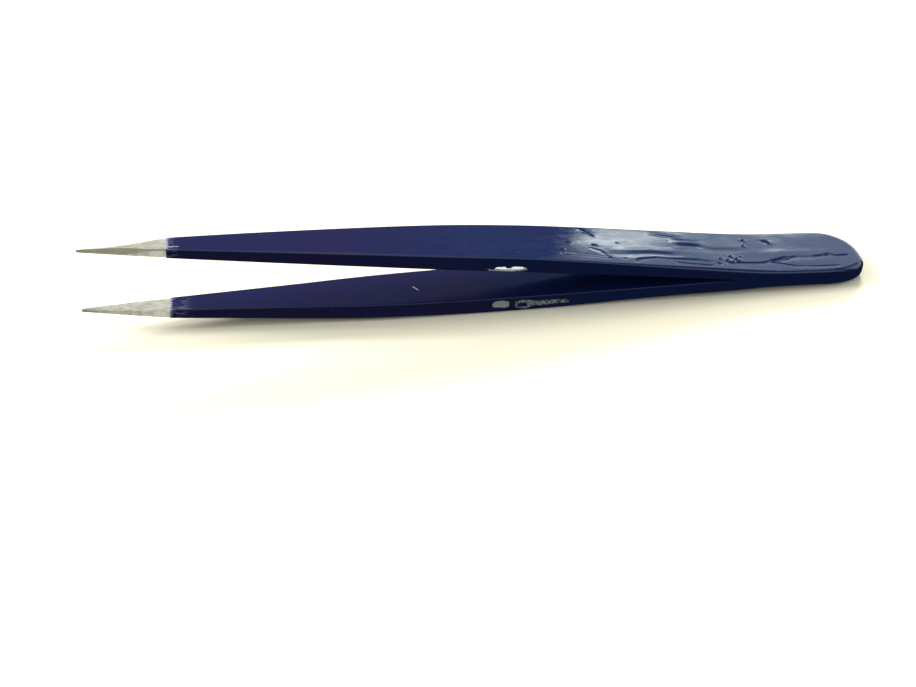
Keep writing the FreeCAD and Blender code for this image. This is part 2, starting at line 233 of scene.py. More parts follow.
def heel_turn(inset, turns):
    """The round back of the heel in plan, from the near side to the far side."""

    def quarter(angles, length, edge_y):
        out_s = length - (length - HEEL_BACK - inset) * np.cos(angles) ** HEEL_ROUNDNESS
        return out_s, HEEL_APEX_Y + (edge_y - HEEL_APEX_Y) * np.sin(angles) ** HEEL_ROUNDNESS

    near = np.linspace(math.pi / 2, 0, turns // 2, endpoint=False)[1:]
    far = np.linspace(0, math.pi / 2, turns // 2, endpoint=False)
    near_s, near_y = quarter(near, HEEL_NEAR_LENGTH, inset - HEEL_HALF_WIDTH)
    far_s, far_y = quarter(far, HEEL_FAR_LENGTH, HEEL_HALF_WIDTH - inset)
    turn_s = np.concatenate([near_s, far_s])
    heart = np.linspace(HEEL_NEAR_LENGTH, HEEL_FAR_LENGTH, len(turn_s))
    return turn_s, np.concatenate([near_y, far_y]), heart


def u_rim(near_places, far_places, width, inset, turns):
    """From the front along the near side, round the heel and forward along the far side."""
    turn_s, turn_y, turn_heart = heel_turn(inset, turns)
    edge_s = np.concatenate([near_places, turn_s, far_places[::-1]])
    edge_y = np.concatenate([-width(near_places), turn_y, width(far_places[::-1])])
    return Rim(edge_s, edge_y, np.concatenate([near_places, turn_heart, far_places[::-1]]))


class Section:
    """Cross-section of an arm on one side of its centre line, as rows of points for each outline point.

    It runs from the centre line of the outer face over the outer corner, down the side and round the
    inner corner to the centre line of the inner face. Each point has an inset from the outline, a
    height, and an outward direction (out in plan, up).
    """

    def __init__(self, counts):
        self.top_rows, self.arc_rows, self.side_rows, self.inner_arc_rows, self.inner_rows = counts
        self.wall_end = self.top_rows + self.arc_rows + self.side_rows + self.inner_arc_rows - 1

    def points(self, reach, outer, inner, corner, inner_corner, crown):
        """The outer face bulges by crown at its centre line. The corners are round, of the radii given."""
        sizes = (reach, outer, inner, corner, inner_corner, crown)
        reach, outer, inner, corner, inner_corner, crown = (
            np.broadcast_to(v, reach.shape)[:, None] for v in sizes
        )
        rows = []

        def add(inset, height, out, up):
            rows.append([np.broadcast_to(v, reach.shape) for v in (inset, height, out, up)])

        def top(inset):
            return outer - crown * ((reach - inset) / reach) ** 2

        for f in np.linspace(0, 1, self.top_rows, endpoint=False):
            inset = reach + (corner - reach) * f
            add(inset, top(inset), 0.0, 1.0)
        rim_top = top(corner)
        for angle in np.linspace(0, math.pi / 2, self.arc_rows, endpoint=False):
            across = corner * (1 - math.sin(angle))
            add(across, rim_top - corner * (1 - math.cos(angle)), math.sin(angle), math.cos(angle))
        wall_top = rim_top - corner
        wall_low = inner + inner_corner
        for f in np.linspace(0, 1, self.side_rows, endpoint=False):
            add(0.0, wall_top + (wall_low - wall_top) * f, 1.0, 0.0)
        for angle in np.linspace(0, math.pi / 2, self.inner_arc_rows):
            across = inner_corner * (1 - math.cos(angle))
            add(across, inner + inner_corner * (1 - math.sin(angle)), math.cos(angle), -math.sin(angle))
        for f in np.linspace(0, 1, self.inner_rows + 1)[1:]:
            add(inner_corner + (reach - inner_corner) * f, inner, 0.0, -1.0)
        return tuple(np.concatenate([row[k] for row in rows], axis=1) for k in range(4))


# ---------------------------------------------------------------- meshes


def grid_faces(rows, columns, offset, first_column=0, last_column=None, picked_rows=None):
    """Quads of a grid of points numbered row by row."""
    last = columns - 1 if last_column is None else last_column
    return [
        (
            offset + i * columns + j,
            offset + (i + 1) * columns + j,
            offset + (i + 1) * columns + j + 1,
            offset + i * columns + j + 1,
        )
        for i in (range(rows - 1) if picked_rows is None else picked_rows)
        for j in range(first_column, last)
    ]


def zip_faces(first, second, points):
    """Triangles between two rows of point numbers that run side by side."""
    faces = []
    i = j = 0
    while i < len(first) - 1 or j < len(second) - 1:
        ahead_i = np.linalg.norm(points[first[min(i + 1, len(first) - 1)]] - points[second[j]])
        ahead_j = np.linalg.norm(points[first[i]] - points[second[min(j + 1, len(second) - 1)]])
        if j == len(second) - 1 or (i < len(first) - 1 and ahead_i <= ahead_j):
            faces.append((first[i], first[i + 1], second[j]))
            i += 1
        else:
            faces.append((first[i], second[j + 1], second[j]))
            j += 1
    return faces


def mesh_object(name, places, side, faces, sharp_angle, worn=None):
    """A closed mesh, smooth up to an angle. Its points keep their (s, y, h) and their wear as attributes."""
    mesh = bpy.data.meshes.new(name)
    mesh.from_pydata(put(*places.T, side).tolist(), [], faces)
    attribute = mesh.attributes.new("place", "FLOAT_VECTOR", "POINT")
    attribute.data.foreach_set("vector", places.astype(np.float32).ravel())
    if worn is not None:
        attribute = mesh.attributes.new("worn", "FLOAT", "POINT")
        attribute.data.foreach_set("value", worn.astype(np.float32))
    work = bmesh.new()
    work.from_mesh(mesh)
    bmesh.ops.remove_doubles(work, verts=work.verts, dist=1e-6)
    bmesh.ops.dissolve_degenerate(work, edges=work.edges, dist=1e-7)
    bmesh.ops.recalc_face_normals(work, faces=work.faces)
    work.to_mesh(mesh)
    work.free()
    mesh.shade_smooth()
    mesh.set_sharp_from_angle(angle=math.radians(sharp_angle))
    made = bpy.data.objects.new(name, mesh)
    bpy.context.scene.collection.objects.link(made)
    return made


# ---------------------------------------------------------------- relief of the coating


def beside_path(s, y, path):
    """Signed distance from a path of (s, y) points, and how far along it, from 0 to 1."""
    best = np.full(np.shape(s), 1e9)
    along = np.zeros(np.shape(s))
    count = len(path) - 1
    for n in range(count):
        (s0, y0), (s1, y1) = path[n], path[n + 1]
        run = math.hypot(s1 - s0, y1 - y0)
        t = np.clip(((s - s0) * (s1 - s0) + (y - y0) * (y1 - y0)) / run**2, 0, 1)
        away = np.hypot(s - s0 - t * (s1 - s0), y - y0 - t * (y1 - y0))
        far_side = np.where((y - y0) * (s0 - s1) + (s - s0) * (y1 - y0) > 0, 1.0, -1.0)
        nearer = away < np.abs(best)
        along = np.where(nearer, (n + t) / count, along)
        best = np.where(nearer, away * far_side, best)
    return best, along


def fold(s, y, path, width, depth):
    """A soft step along a path, higher on its far side, with its ends faded out."""
    beside, along = beside_path(s, y, path)
    fade = ramp(0, 0.35, along) * (1 - ramp(0.65, 1, along))
    return depth * fade * (beside / width) * np.exp(-((beside / width) ** 2))


def groove(s, y, path, width, depth):
    """A narrow valley along a path, with its ends faded out."""
    beside, along = beside_path(s, y, path)
    fade = ramp(0, 0.08, along) * (1 - ramp(0.92, 1, along))
    return -depth * fade * np.exp(-((beside / width) ** 2))


def swelling(s, y, centre, size, height):
    """A smooth round bump, or a dent where height is negative."""
    return height * np.exp(-(((s - centre[0]) / size[0]) ** 2) - ((y - centre[1]) / size[1]) ** 2)


# broad folds where the coating ran and set, on the upper side: path towards the heel, width, depth
FOLDS = (
    (((42.0, -2.1), (38.0, -1.7), (34.6, -1.3), (31.0, -1.4), (27.6, -0.6)), 0.80, 0.090),
    (((31.0, 1.1), (28.2, 1.3), (24.6, 1.2)), 0.95, 0.165),
    (((45.2, 4.2), (43.6, 3.2), (42.4, 2.0)), 0.40, 0.060),
    (((34.5, 3.9), (31.0, 3.5), (27.6, 3.0)), 0.34, 0.055),
    (((26.6, 0.6), (23.0, 0.5), (18.0, 1.0)), 0.80, 0.085),
    (((44.4, -0.8), (42.4, -1.6), (41.6, -3.0)), 0.30, 0.050),
)
# narrow valleys between runs of the coating: path, width, depth
GROOVES = (
    (
        ((37.8, -4.1), (36.6, -3.3), (34.0, -2.8), (31.0, -2.9), (27.4, -2.8), (25.4, -3.1), (23.6, -3.7)),
        0.20,
        0.100,
    ),
    (((31.2, -3.7), (28.6, -4.0), (25.0, -4.1)), 0.15, 0.050),
    (((49.0, -2.8), (46.5, -2.9), (43.6, -3.2), (41.0, -3.4)), 0.20, 0.090),
    (((23.0, -3.3), (20.4, -3.1), (17.2, -3.0), (14.6, -2.3)), 0.19, 0.100),
    (((15.8, -2.7), (14.2, -2.2), (12.6, -1.7)), 0.32, 0.150),
    (((13.6, -1.9), (11.0, -1.5), (8.4, -1.6), (5.6, -1.1)), 0.20, 0.110),
    (((6.8, -1.3), (5.8, -0.9), (4.9, -1.5), (2.6, -1.3)), 0.18, 0.100),
    (((15.6, -2.7), (13.6, -3.4), (11.8, -4.0), (9.3, -4.2), (4.4, -4.1)), 0.14, 0.055),
)
# bubbles, bumps and dents: centre, size, height
SWELLINGS = (
    ((23.5, -2.2), (0.26, 0.22), 0.110),
    ((22.4, -2.6), (0.34, 0.30), 0.130),
    ((21.7, -1.5), (0.28, 0.24), 0.140),
    ((20.8, -2.2), (0.40, 0.34), 0.150),
    ((21.6, -2.9), (0.24, 0.22), 0.100),
    ((20.1, -1.4), (0.22, 0.20), 0.080),
    ((18.4, 3.1), (0.24, 0.26), 0.140),
    ((19.2, 2.7), (0.30, 0.20), -0.035),
    ((18.8, 1.5), (0.22, 0.22), 0.120),
    ((15.2, 2.9), (0.55, 0.30), -0.085),
    ((14.3, 2.5), (0.32, 0.40), 0.055),
    ((47.2, 0.0), (0.16, 0.16), 0.080),
    ((48.3, -1.8), (0.16, 0.16), 0.080),
    ((43.1, -0.3), (0.30, 0.22), 0.100),
    ((39.4, 0.7), (0.18, 0.14), 0.030),
    ((39.0, -3.4), (0.26, 0.16), -0.040),
    ((17.0, -0.3), (9.0, 0.9), 0.022),
    ((10.0, -2.9), (4.5, 0.8), 0.020),
)


def waves(s, y, h, side):
    """Slow waves in the thickness of the coating, strongest over the heel."""
    strength = 0.0015 + 0.0135 * (1 - ramp(40.0, 56.0, s))
    values = np.empty(s.size)
    for i, (a, b, c) in enumerate(zip(s.ravel(), y.ravel(), h.ravel())):
        slow = noise.noise(Vector((a / 7.0, b / 3.2, side * (c / 3.0 + 5.0))))
        quick = noise.noise(Vector((a / 3.0 + 40.0, b / 1.9, side * (c / 2.0 + 9.0))))
        values[i] = slow + 0.30 * quick
    return strength * values.reshape(s.shape)


def top_relief(s, y):
    """Everything that the coating set in on the upper side, apart from its waves."""
    relief = np.zeros(s.shape)
    for path, width, depth in FOLDS:
        relief += fold(s, y, path, width, depth)
    for path, width, depth in GROOVES:
        relief += groove(s, y, path, width, depth)
    for centre, size, height in SWELLINGS:
        relief += swelling(s, y, centre, size, height)
    return relief


# ---------------------------------------------------------------- places where the coating is worn off

# blobs of bare steel on the near sides: centre (s, h), size, and 1 to bare or -1 to leave an island
UPPER_CHIP = (
    ((57.25, 2.88), (2.75, 0.40), 1.0),
    ((59.35, 3.25), (0.28, 0.26), -1.8),
    ((57.0, 3.25), (0.36, 0.22), -1.8),
)
LOWER_CHIP = (
    ((57.7, 3.55), (1.35, 0.60), 1.0),
    ((54.5, 3.60), (1.25, 0.72), 1.0),
    ((54.4, 3.70), (0.60, 0.30), -2.2),
    ((56.0, 3.55), (0.30, 0.60), -1.4),
    ((51.8, 3.40), (1.70, 0.55), 0.62),
    ((48.6, 3.15), (1.90, 0.46), 0.60),
)


def bareness(s, h, blobs):
    """1 where the steel shows, 0 under whole coating, with ragged edges between."""
    field = np.zeros(s.shape)
    for (centre_s, centre_h), (long, high), weight in blobs:
        away = np.abs((s - centre_s) / long) ** 3 + np.abs((h - centre_h) / high) ** 3
        field += weight * np.exp(-0.75 * away)
    near = field > 0.05
    rough = np.zeros(s.shape)
    rough[near] = [
        noise.noise(Vector((a * 1.4, b * 3.0, 3.0))) + 0.6 * noise.noise(Vector((a * 4.0, b * 6.0, 8.0)))
        for a, b in zip(s[near], h[near])
    ]
    return ramp(0.44, 0.56, field + 0.16 * rough)


# ---------------------------------------------------------------- pieces


def coat_corner(s):
    """Radius of the skin's outer corners: largest round the back of the heel."""
    body = 0.12 + 0.18 * (1 - ramp(80, NOSE, s)) + 0.22 * (1 - ramp(18, 45, s))
    return body + 0.50 * (1 - ramp(1.5, 6.0, s))


def steel_corner(s):
    """Under the coating, the steel's corners are rounded along with it."""
    return np.maximum(STEEL_CORNER, coat_corner(np.minimum(s, NOSE)) - COATING)


def coat_inner_corner(s):
    """Radius of the corners of the faces that look at each other, sharp until the arms have parted."""
    return 0.09 * ramp(CROTCH + 1, CROTCH + 7, s)


def coat_crown(s):
    """How much the outer face bulges, most between the heel and the belly."""
    return 0.03 + 0.05 * ramp(20, 28, s) * (1 - ramp(42, 56, s))


def lip_wobble(rim):
    """The dipping line isn't straight: how far each side's lip falls short, in mm."""
    wander = [noise.noise(Vector((0.9 * y, 2.7, 0.4))) for y in rim.y]
    return 0.16 * np.array(wander) * ramp(NOSE - 3, NOSE, rim.s)


def coating(name, side, top_rows, heel_spacing, blobs, wear_depth, pooled):
    """One half of the skin: outer face, the cavity that the steel fills, and the lip between them.

    blobs are its worn places, and wear_depth is how deep they go. pooled adds the coating that ran down.
    """
    near = steps(
        (NOSE, WEAR_FRONT, 0.5),
        (WEAR_FRONT, WEAR_BACK, 0.1),
        (WEAR_BACK, STEEL_PARTS, heel_spacing),
        (STEEL_PARTS, HEEL_NEAR_LENGTH, heel_spacing),
    )
    far = steps(
        (NOSE, BELLY_START, 0.5),
        (BELLY_START, STEEL_PARTS, heel_spacing),
        (STEEL_PARTS, HEEL_FAR_LENGTH, heel_spacing),
    )
    turns = 2 * round(9.0 / heel_spacing)

    def coated_width(p):
        return half_width(p) + (lower_spread(p) if pooled else 0.0)

    rim = u_rim(near, far, coated_width, 0.0, turns)
    s = rim.s
    pool = underside_pool(s) if pooled else np.zeros(len(s))
    skin = Section((top_rows, 8, 24, 5, 8))
    inset, height, out, up = skin.points(
        rim.reach,
        outer_height(s) + pool,
        inner_height(s),
        coat_corner(s),
        coat_inner_corner(s),
        coat_crown(s),
    )
    plan_s, plan_y = rim.at(inset)
    relief = waves(plan_s, plan_y, height, side)
    if side > 0:
        relief += np.clip(up, 0, 1) * top_relief(plan_s, plan_y)
    relief *= ramp(0.0, 0.4, height)
    near_wall = (plan_y < 0) & (out > 0.3)
    bare = bareness(plan_s, height, blobs) * near_wall
    relief = relief * (1 - bare) - wear_depth * bare
    outward = rim.outward()
    skin_s = plan_s + outward[:, :1] * out * relief - lip_wobble(rim)[:, None]
    skin_y = plan_y + outward[:, 1:] * out * relief
    skin_h = height + up * relief
    places = np.stack([skin_s, skin_y, skin_h], axis=-1).reshape(-1, 3)

    def covered_width(p):
        return half_width(p) - coat_thickness(p)

    hollow = Section((8, 7, 24, 3, 5))
    steel_rim = u_rim(near, far, covered_width, COATING, turns)
    under = np.minimum(steel_rim.s, NOSE - 1e-6)
    hollow_inset, hollow_height, hollow_out, _ = hollow.points(
        steel_rim.reach, steel_outer(under), steel_inner(under), steel_corner(under), 0.0, 0.0
    )
    hollow_s, hollow_y = steel_rim.at(hollow_inset)
    if wear_depth > COATING:
        # where the steel shows, the cavity's wall goes in behind the worn skin
        near_wall = (hollow_y < 0) & (hollow_out > 0.3)
        sunk = bareness(hollow_s, hollow_height, blobs) * near_wall
        hollow_y = hollow_y + (wear_depth - COATING + 0.06) * sunk
    hollow_s = hollow_s - lip_wobble(steel_rim)[:, None]
    hollow_places = np.stack([hollow_s, hollow_y, hollow_height], axis=-1).reshape(-1, 3)

    rows, columns = plan_s.shape
    hollow_columns = hollow_s.shape[1]
    base = len(places)
    places = np.concatenate([places, hollow_places])
    parted = s >= STEEL_PARTS - 1e-6
    arm_rows = [i for i in range(rows - 1) if parted[i] and parted[i + 1]]
    heel_rows = [i for i in range(rows - 1) if not (parted[i] and parted[i + 1])]
    # the inner faces are there only where the arms have parted: the two halves of the heel are one skin
    faces = grid_faces(rows, columns, 0, 0, skin.wall_end)
    faces += grid_faces(rows, columns, 0, skin.wall_end, None, arm_rows)
    faces += grid_faces(rows, hollow_columns, base, 0, hollow.wall_end)
    faces += grid_faces(rows, hollow_columns, base, hollow.wall_end, None, arm_rows)
    for i in (0, rows - 1):
        outer_row = [i * columns + j for j in range(columns)]
        hollow_row = [base + i * hollow_columns + j for j in range(hollow_columns)]
        faces += zip_faces(outer_row, hollow_row, places)
    for i in heel_rows:
        a = i * columns + skin.wall_end
        b = base + i * hollow_columns + hollow.wall_end
        faces.append((a, a + columns, b + hollow_columns, b))
    for i in (heel_rows[0], heel_rows[-1] + 1):
        outer_row = [i * columns + j for j in range(skin.wall_end, columns)]
        hollow_row = [base + i * hollow_columns + j for j in range(hollow.wall_end, hollow_columns)]
        faces += zip_faces(outer_row, hollow_row, places)
    worn = np.concatenate([bare.ravel(), np.zeros(len(hollow_places))])
    return mesh_object(name, places, side, faces, 40, worn)


def blade(name, side, ground):
    """One steel leaf, heel to point. ground says how much of its outer corners is ground away."""
    point_centre = LENGTH - POINT_HALF_WIDTH
    sides = steps((point_centre, NOSE - 1.2, 0.15), (NOSE - 1.2, 61.0, 0.8), (61.0, HEEL_FAR_LENGTH, 0.4))
    near = np.concatenate([sides, steps((HEEL_FAR_LENGTH - 0.4, HEEL_NEAR_LENGTH, 0.4))])
    turn_s, turn_y, turn_heart = heel_turn(COATING, 60)
    point_turn = np.linspace(math.pi / 2, -math.pi / 2, 14)[1:-1]
    rim = Rim(
        np.concatenate([near, turn_s, sides[::-1], point_centre + POINT_HALF_WIDTH * np.cos(point_turn)]),
        np.concatenate(
            [
                -steel_half_width(near),
                turn_y,
                steel_half_width(sides[::-1]),
                POINT_HALF_WIDTH * np.sin(point_turn),
            ]
        ),
        np.concatenate([near, turn_heart, sides[::-1], np.full(len(point_turn), point_centre)]),
    )
    s = rim.s
    outer = steel_outer(s)
    inner = steel_inner(s)
    covered = steel_corner(s)
    facet = np.minimum(point_bevel(s), FACET_WIDTH_SHARE * rim.reach)
    flat = ramp(NOSE - 0.8, NOSE, s) * ground
    bevel = covered + (facet - covered) * flat
    leaf = Section((12, 7, 12, 3, 8))
    inset, height, _, _ = leaf.points(rim.reach, outer, inner, bevel, STEEL_EDGE, 0.0)
    # a ground corner is a flat, not a round: pull the arc's points onto its chord
    corner_rows = slice(leaf.top_rows, leaf.top_rows + leaf.arc_rows + 1)
    share = np.linspace(0, 1, leaf.arc_rows + 1)[None, :]
    flat = flat[:, None]
    drop = np.minimum(bevel, FACET_DEPTH_SHARE * (outer - inner))[:, None]
    chord_inset = bevel[:, None] * (1 - share)
    chord_height = outer[:, None] - drop * share
    inset[:, corner_rows] += (chord_inset - inset[:, corner_rows]) * flat
    height[:, corner_rows] += (chord_height - height[:, corner_rows]) * flat
    plan_s, plan_y = rim.at(inset)
    rows, columns = plan_s.shape
    places = np.stack([plan_s, plan_y, height], axis=-1).reshape(-1, 3)
    places = np.concatenate([places, places[:columns]])
    ground_off = np.zeros(plan_s.shape)
    ground_off[:, corner_rows] = flat
    worn = np.concatenate([ground_off.ravel(), ground_off[0]])
    return mesh_object(name, places, side, grid_faces(rows + 1, columns, 0), 20, worn)


# the upper arm is worn through to the steel, and the lower one only into the skin
upper_coat = coating(
    "upper_coating",
    1,
    top_rows=44,
    heel_spacing=0.17,
    blobs=UPPER_CHIP,
    wear_depth=COATING + 0.04,
    pooled=False,
)
lower_coat = coating(
    "lower_coating",
    -1,
    top_rows=16,
    heel_spacing=0.4,
    blobs=LOWER_CHIP,
    wear_depth=0.12,
    pooled=True,
)
upper_steel = blade("upper_steel_blade", 1, ground=1.0)
lower_steel = blade("lower_steel_blade", -1, ground=0.12)
coats = (upper_coat, lower_coat)
blades = (upper_steel, lower_steel)

for piece, arm in zip(coats + blades, ("upper_arm", "lower_arm") * 2):
    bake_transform(piece)
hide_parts("upper_arm_coating", "heel_coating")
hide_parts("lower_arm_coating")
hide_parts("upper_blade", "upper_heel_tang")
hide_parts("lower_blade", "lower_heel_tang")


# ---------------------------------------------------------------- materials


class Graph:
    """Short calls for building a node tree. Values may be numbers or other nodes' outputs."""

    def __init__(self, tree):
        self.nodes = tree.nodes
        self.links = tree.links

    def node(self, kind, **settings):
        made = self.nodes.new(kind)
        for key, value in settings.items():
            setattr(made, key, value)
        return made

    def feed(self, socket, value):
        if isinstance(value, bpy.types.NodeSocket):
            self.links.new(value, socket)
        else:
            socket.default_value = value

    def math(self, operation, *values):
        made = self.node("ShaderNodeMath", operation=operation)
        for socket, value in zip(made.inputs, values):
            self.feed(socket, value)
        return made.outputs[0]

    def place(self):
        """The surface's own (s, y, h), in mm."""
        return self.node("ShaderNodeAttribute", attribute_name="place").outputs["Vector"]

    def stretched(self, vector, scale, offset=(0, 0, 0)):
        made = self.node("ShaderNodeMapping")
        self.feed(made.inputs["Vector"], vector)
        made.inputs["Scale"].default_value = scale
        made.inputs["Location"].default_value = offset
        return made.outputs[0]

    def noise(self, vector, scale, detail=3.0, roughness=0.5):
        made = self.node("ShaderNodeTexNoise")
        self.feed(made.inputs["Vector"], vector)
        made.inputs["Scale"].default_value = scale
        made.inputs["Detail"].default_value = detail
        made.inputs["Roughness"].default_value = roughness
        return made.outputs["Fac"]

    def band(self, value, low, high, bottom=0.0, top=1.0):
        """Smooth rise from bottom, where value is low, to top, where value is high."""
        made = self.node("ShaderNodeMapRange", interpolation_type="SMOOTHSTEP")
        self.feed(made.inputs["Value"], value)
        for name, number in (("From Min", low), ("From Max", high), ("To Min", bottom), ("To Max", top)):
            made.inputs[name].default_value = number
        return made.outputs["Result"]

    def mix(self, factor, first, second):
        made = self.node("ShaderNodeMix", data_type="RGBA")
        self.feed(made.inputs[0], factor)
        self.feed(made.inputs[6], first)
        self.feed(made.inputs[7], second)
        return made.outputs[2]

    def bump(self, height, strength, distance):
        made = self.node("ShaderNodeBump")
        self.feed(made.inputs["Height"], height)
        made.inputs["Strength"].default_value = strength
        made.inputs["Distance"].default_value = distance
        return made.outputs["Normal"]


def new_material(name):
    material = bpy.data.materials.new(name)
    material.use_nodes = True
    return material, Graph(material.node_tree), material.node_tree.nodes["Principled BSDF"]


def split(graph, vector):
    made = graph.node("ShaderNodeSeparateXYZ")
    graph.feed(made.inputs[0], vector)
    return made.outputs


def scratch(graph, parts, start, end, width):
    """Mask of a straight scratch between two (s, y) places."""
    run = (end[0] - start[0], end[1] - start[1])
    length = run[0] ** 2 + run[1] ** 2
    ds = graph.math("SUBTRACT", parts[0], start[0])
    dy = graph.math("SUBTRACT", parts[1], start[1])
    dot = graph.math("ADD", graph.math("MULTIPLY", ds, run[0]), graph.math("MULTIPLY", dy, run[1]))
    t = graph.math("MINIMUM", graph.math("MAXIMUM", graph.math("DIVIDE", dot, length), 0.0), 1.0)
    off_s = graph.math("SUBTRACT", ds, graph.math("MULTIPLY", t, run[0]))
    off_y = graph.math("SUBTRACT", dy, graph.math("MULTIPLY", t, run[1]))
    squares = graph.math("ADD", graph.math("POWER", off_s, 2.0), graph.math("POWER", off_y, 2.0))
    return graph.band(graph.math("SQRT", squares), width, 0.5 * width)


def largest(graph, masks):
    result = masks[0]
    for mask in masks[1:]:
        result = graph.math("MAXIMUM", result, mask)
    return result


COAT_BLUE = (0.0042, 0.0125, 0.0640, 1)
COAT_PURPLE = (0.0135, 0.0095, 0.0540, 1)
COAT_WORN = (0.16, 0.19, 0.30, 1)
COAT_RIM = (0.42, 0.48, 0.58, 1)
COAT_SCRATCH = (0.48, 0.50, 0.56, 1)
# the patch on the lower arm, and the bright one on the upper arm: darker and lighter mottling. The lower
# arm's patch is real wear in the skin, coloured as bare steel with a painted reflection of dark surroundings
LOWER_WEAR_PAINTED_REFLECTION = ((0.045, 0.055, 0.075, 1), (0.34, 0.38, 0.35, 1))
BRIGHT_PATCH = ((0.50, 0.51, 0.56, 1), (0.86, 0.87, 0.92, 1))
# straight scratches in the skin: start and end as (s, y), and width
SCRATCHES = {
    "upper": (
        ((107.2, -0.6), (106.6, -0.9), 0.06),
        ((106.6, -0.9), (106.1, -0.7), 0.06),
        ((106.1, -0.7), (105.3, -0.9), 0.05),
    ),
    "lower": (((70.6, 0.2), (69.9, -0.7), 0.09),),
}


def coating_material(name, scratches, lip_wear, lip_side, purple_from, patch_colors):
    """Glossy dipped vinyl: deep navy that drifts to purple, fine orange peel, scuffs and a worn lip.

    lip_wear is how far the scuffs reach back from the lip, and lip_side is the span of y over which its
    pale edge comes in. purple_from is the place where the purple starts.
    """
    material, graph, shader = new_material(name)
    place = graph.place()
    parts = split(graph, place)
    drift = graph.band(graph.noise(graph.stretched(place, (0.10, 0.35, 0.35)), 1.0, 2.0), 0.40, 0.62)
    front = graph.band(parts[0], purple_from, purple_from + 24.0)
    purple = graph.math("MULTIPLY", graph.math("ADD", graph.math("MULTIPLY", drift, 0.5), front), 0.62)
    color = graph.mix(purple, COAT_BLUE, COAT_PURPLE)
    grain = graph.noise(graph.stretched(place, (1.0, 3.0, 3.0)), 1.3, 4.0, 0.7)
    streaks = graph.noise(graph.stretched(place, (0.55, 3.2, 3.2)), 1.0, 4.0, 0.65)
    near_lip = graph.band(parts[0], NOSE - lip_wear, NOSE - 0.4)
    scuffs = graph.math("MULTIPLY", graph.band(streaks, 0.48, 0.66), near_lip)
    color = graph.mix(graph.math("MULTIPLY", scuffs, 0.8), color, COAT_WORN)
    ragged = graph.math("ADD", parts[0], graph.math("MULTIPLY", grain, 1.5))
    edge = graph.band(ragged, NOSE + 0.20, NOSE + 0.75)
    lip = graph.math("MULTIPLY", edge, graph.band(parts[1], *lip_side))
    color = graph.mix(graph.math("MULTIPLY", lip, 0.85), color, COAT_RIM)
    worn = graph.node("ShaderNodeAttribute", attribute_name="worn").outputs["Fac"]
    patches = graph.noise(graph.stretched(place, (2.2, 4.0, 4.0)), 1.0, 3.0, 0.6)
    paler_front = graph.band(parts[0], 55.8, 56.4, 0.0, 0.16)
    # the worn skin takes the patch colours; on the lower arm they are a painted reflection of dark
    # surroundings in bare steel
    bare = graph.mix(graph.band(graph.math("ADD", patches, paler_front), 0.40, 0.60), *patch_colors)
    color = graph.mix(worn, color, bare)
    marks = largest(graph, [scratch(graph, parts, *line) for line in scratches])
    color = graph.mix(marks, color, COAT_SCRATCH)
    graph.feed(shader.inputs["Base Color"], color)
    haze = graph.noise(graph.stretched(place, (0.5, 1.4, 1.4)), 1.0, 4.0, 0.6)
    gloss = graph.band(haze, 0.35, 0.75, 0.05, 0.14)
    satin = graph.band(parts[0], 50.0, 64.0, 0.0, 0.14)
    scuffed = graph.math("MULTIPLY", graph.math("MAXIMUM", lip, scuffs), 0.25)
    rough = graph.math("ADD", gloss, graph.math("ADD", satin, scuffed))
    graph.feed(shader.inputs["Roughness"], rough)
    shader.inputs["IOR"].default_value = 1.5
    peel = graph.noise(graph.stretched(place, (1.2, 2.2, 2.2)), 1.1, 2.0)
    graph.feed(shader.inputs["Normal"], graph.bump(peel, 0.25, 0.00002))
    return material


STEEL_LIGHT = (0.74, 0.71, 0.63, 1)
STEEL_DARK = (0.52, 0.49, 0.40, 1)
STEEL_TIP = (0.30, 0.27, 0.22, 1)
# the ground facets are real, but their darker, warm khaki is a painted reflection of the warm, dim
# surroundings they face
GROUND_FACET_PAINTED_REFLECTION = (0.40, 0.31, 0.18, 1)
STEEL_FRESH = (0.86, 0.87, 0.92, 1)
WELD_DARK = (0.36, 0.35, 0.34, 1)
WELD_LIGHT = (0.50, 0.49, 0.47, 1)


def steel_material():
    """Ground stainless steel: scratches along the leaf, mottled, duller at the tips."""
    material, graph, shader = new_material("ground_stainless_steel")
    place = graph.place()
    parts = split(graph, place)
    lines = graph.noise(graph.stretched(place, (0.8, 9.0, 9.0)), 1.6, 4.0, 0.65)
    mottle = graph.noise(graph.stretched(place, (0.9, 1.6, 1.6)), 1.1, 3.0)
    tone = graph.math("ADD", graph.math("MULTIPLY", lines, 0.5), graph.math("MULTIPLY", mottle, 0.5))
    dull = graph.band(tone, 0.42, 0.60)
    color = graph.mix(dull, STEEL_LIGHT, STEEL_DARK)
    tip = graph.math("MULTIPLY", graph.band(parts[0], LENGTH - 3.5, LENGTH - 0.2), 0.75)
    color = graph.mix(tip, color, STEEL_TIP)
    ground = graph.node("ShaderNodeAttribute", attribute_name="worn").outputs["Fac"]
    # ground facets darker and warmer: a painted reflection
    color = graph.mix(graph.math("MULTIPLY", ground, 0.85), color, GROUND_FACET_PAINTED_REFLECTION)
    color = graph.mix(graph.band(parts[0], NOSE - 1.0, NOSE - 3.0), color, STEEL_FRESH)
    graph.feed(shader.inputs["Base Color"], color)
    shader.inputs["Metallic"].default_value = 1.0
    graph.feed(shader.inputs["Roughness"], graph.band(lines, 0.3, 0.7, 0.34, 0.50))
    graph.feed(shader.inputs["Normal"], graph.bump(lines, 0.35, 0.00004))
    return material


def weld_material():
    """Grey cast metal of the welds, with grains of about 0.4 mm."""
    material, graph, shader = new_material("weld_nugget_metal")
    coordinates = graph.node("ShaderNodeTexCoord").outputs["Object"]
    grain = graph.noise(coordinates, 2500.0, 4.0)
    graph.feed(shader.inputs["Base Color"], graph.mix(grain, WELD_DARK, WELD_LIGHT))
    shader.inputs["Metallic"].default_value = 1.0
    graph.feed(shader.inputs["Roughness"], graph.band(grain, 0.3, 0.7, 0.4, 0.6))
    return material


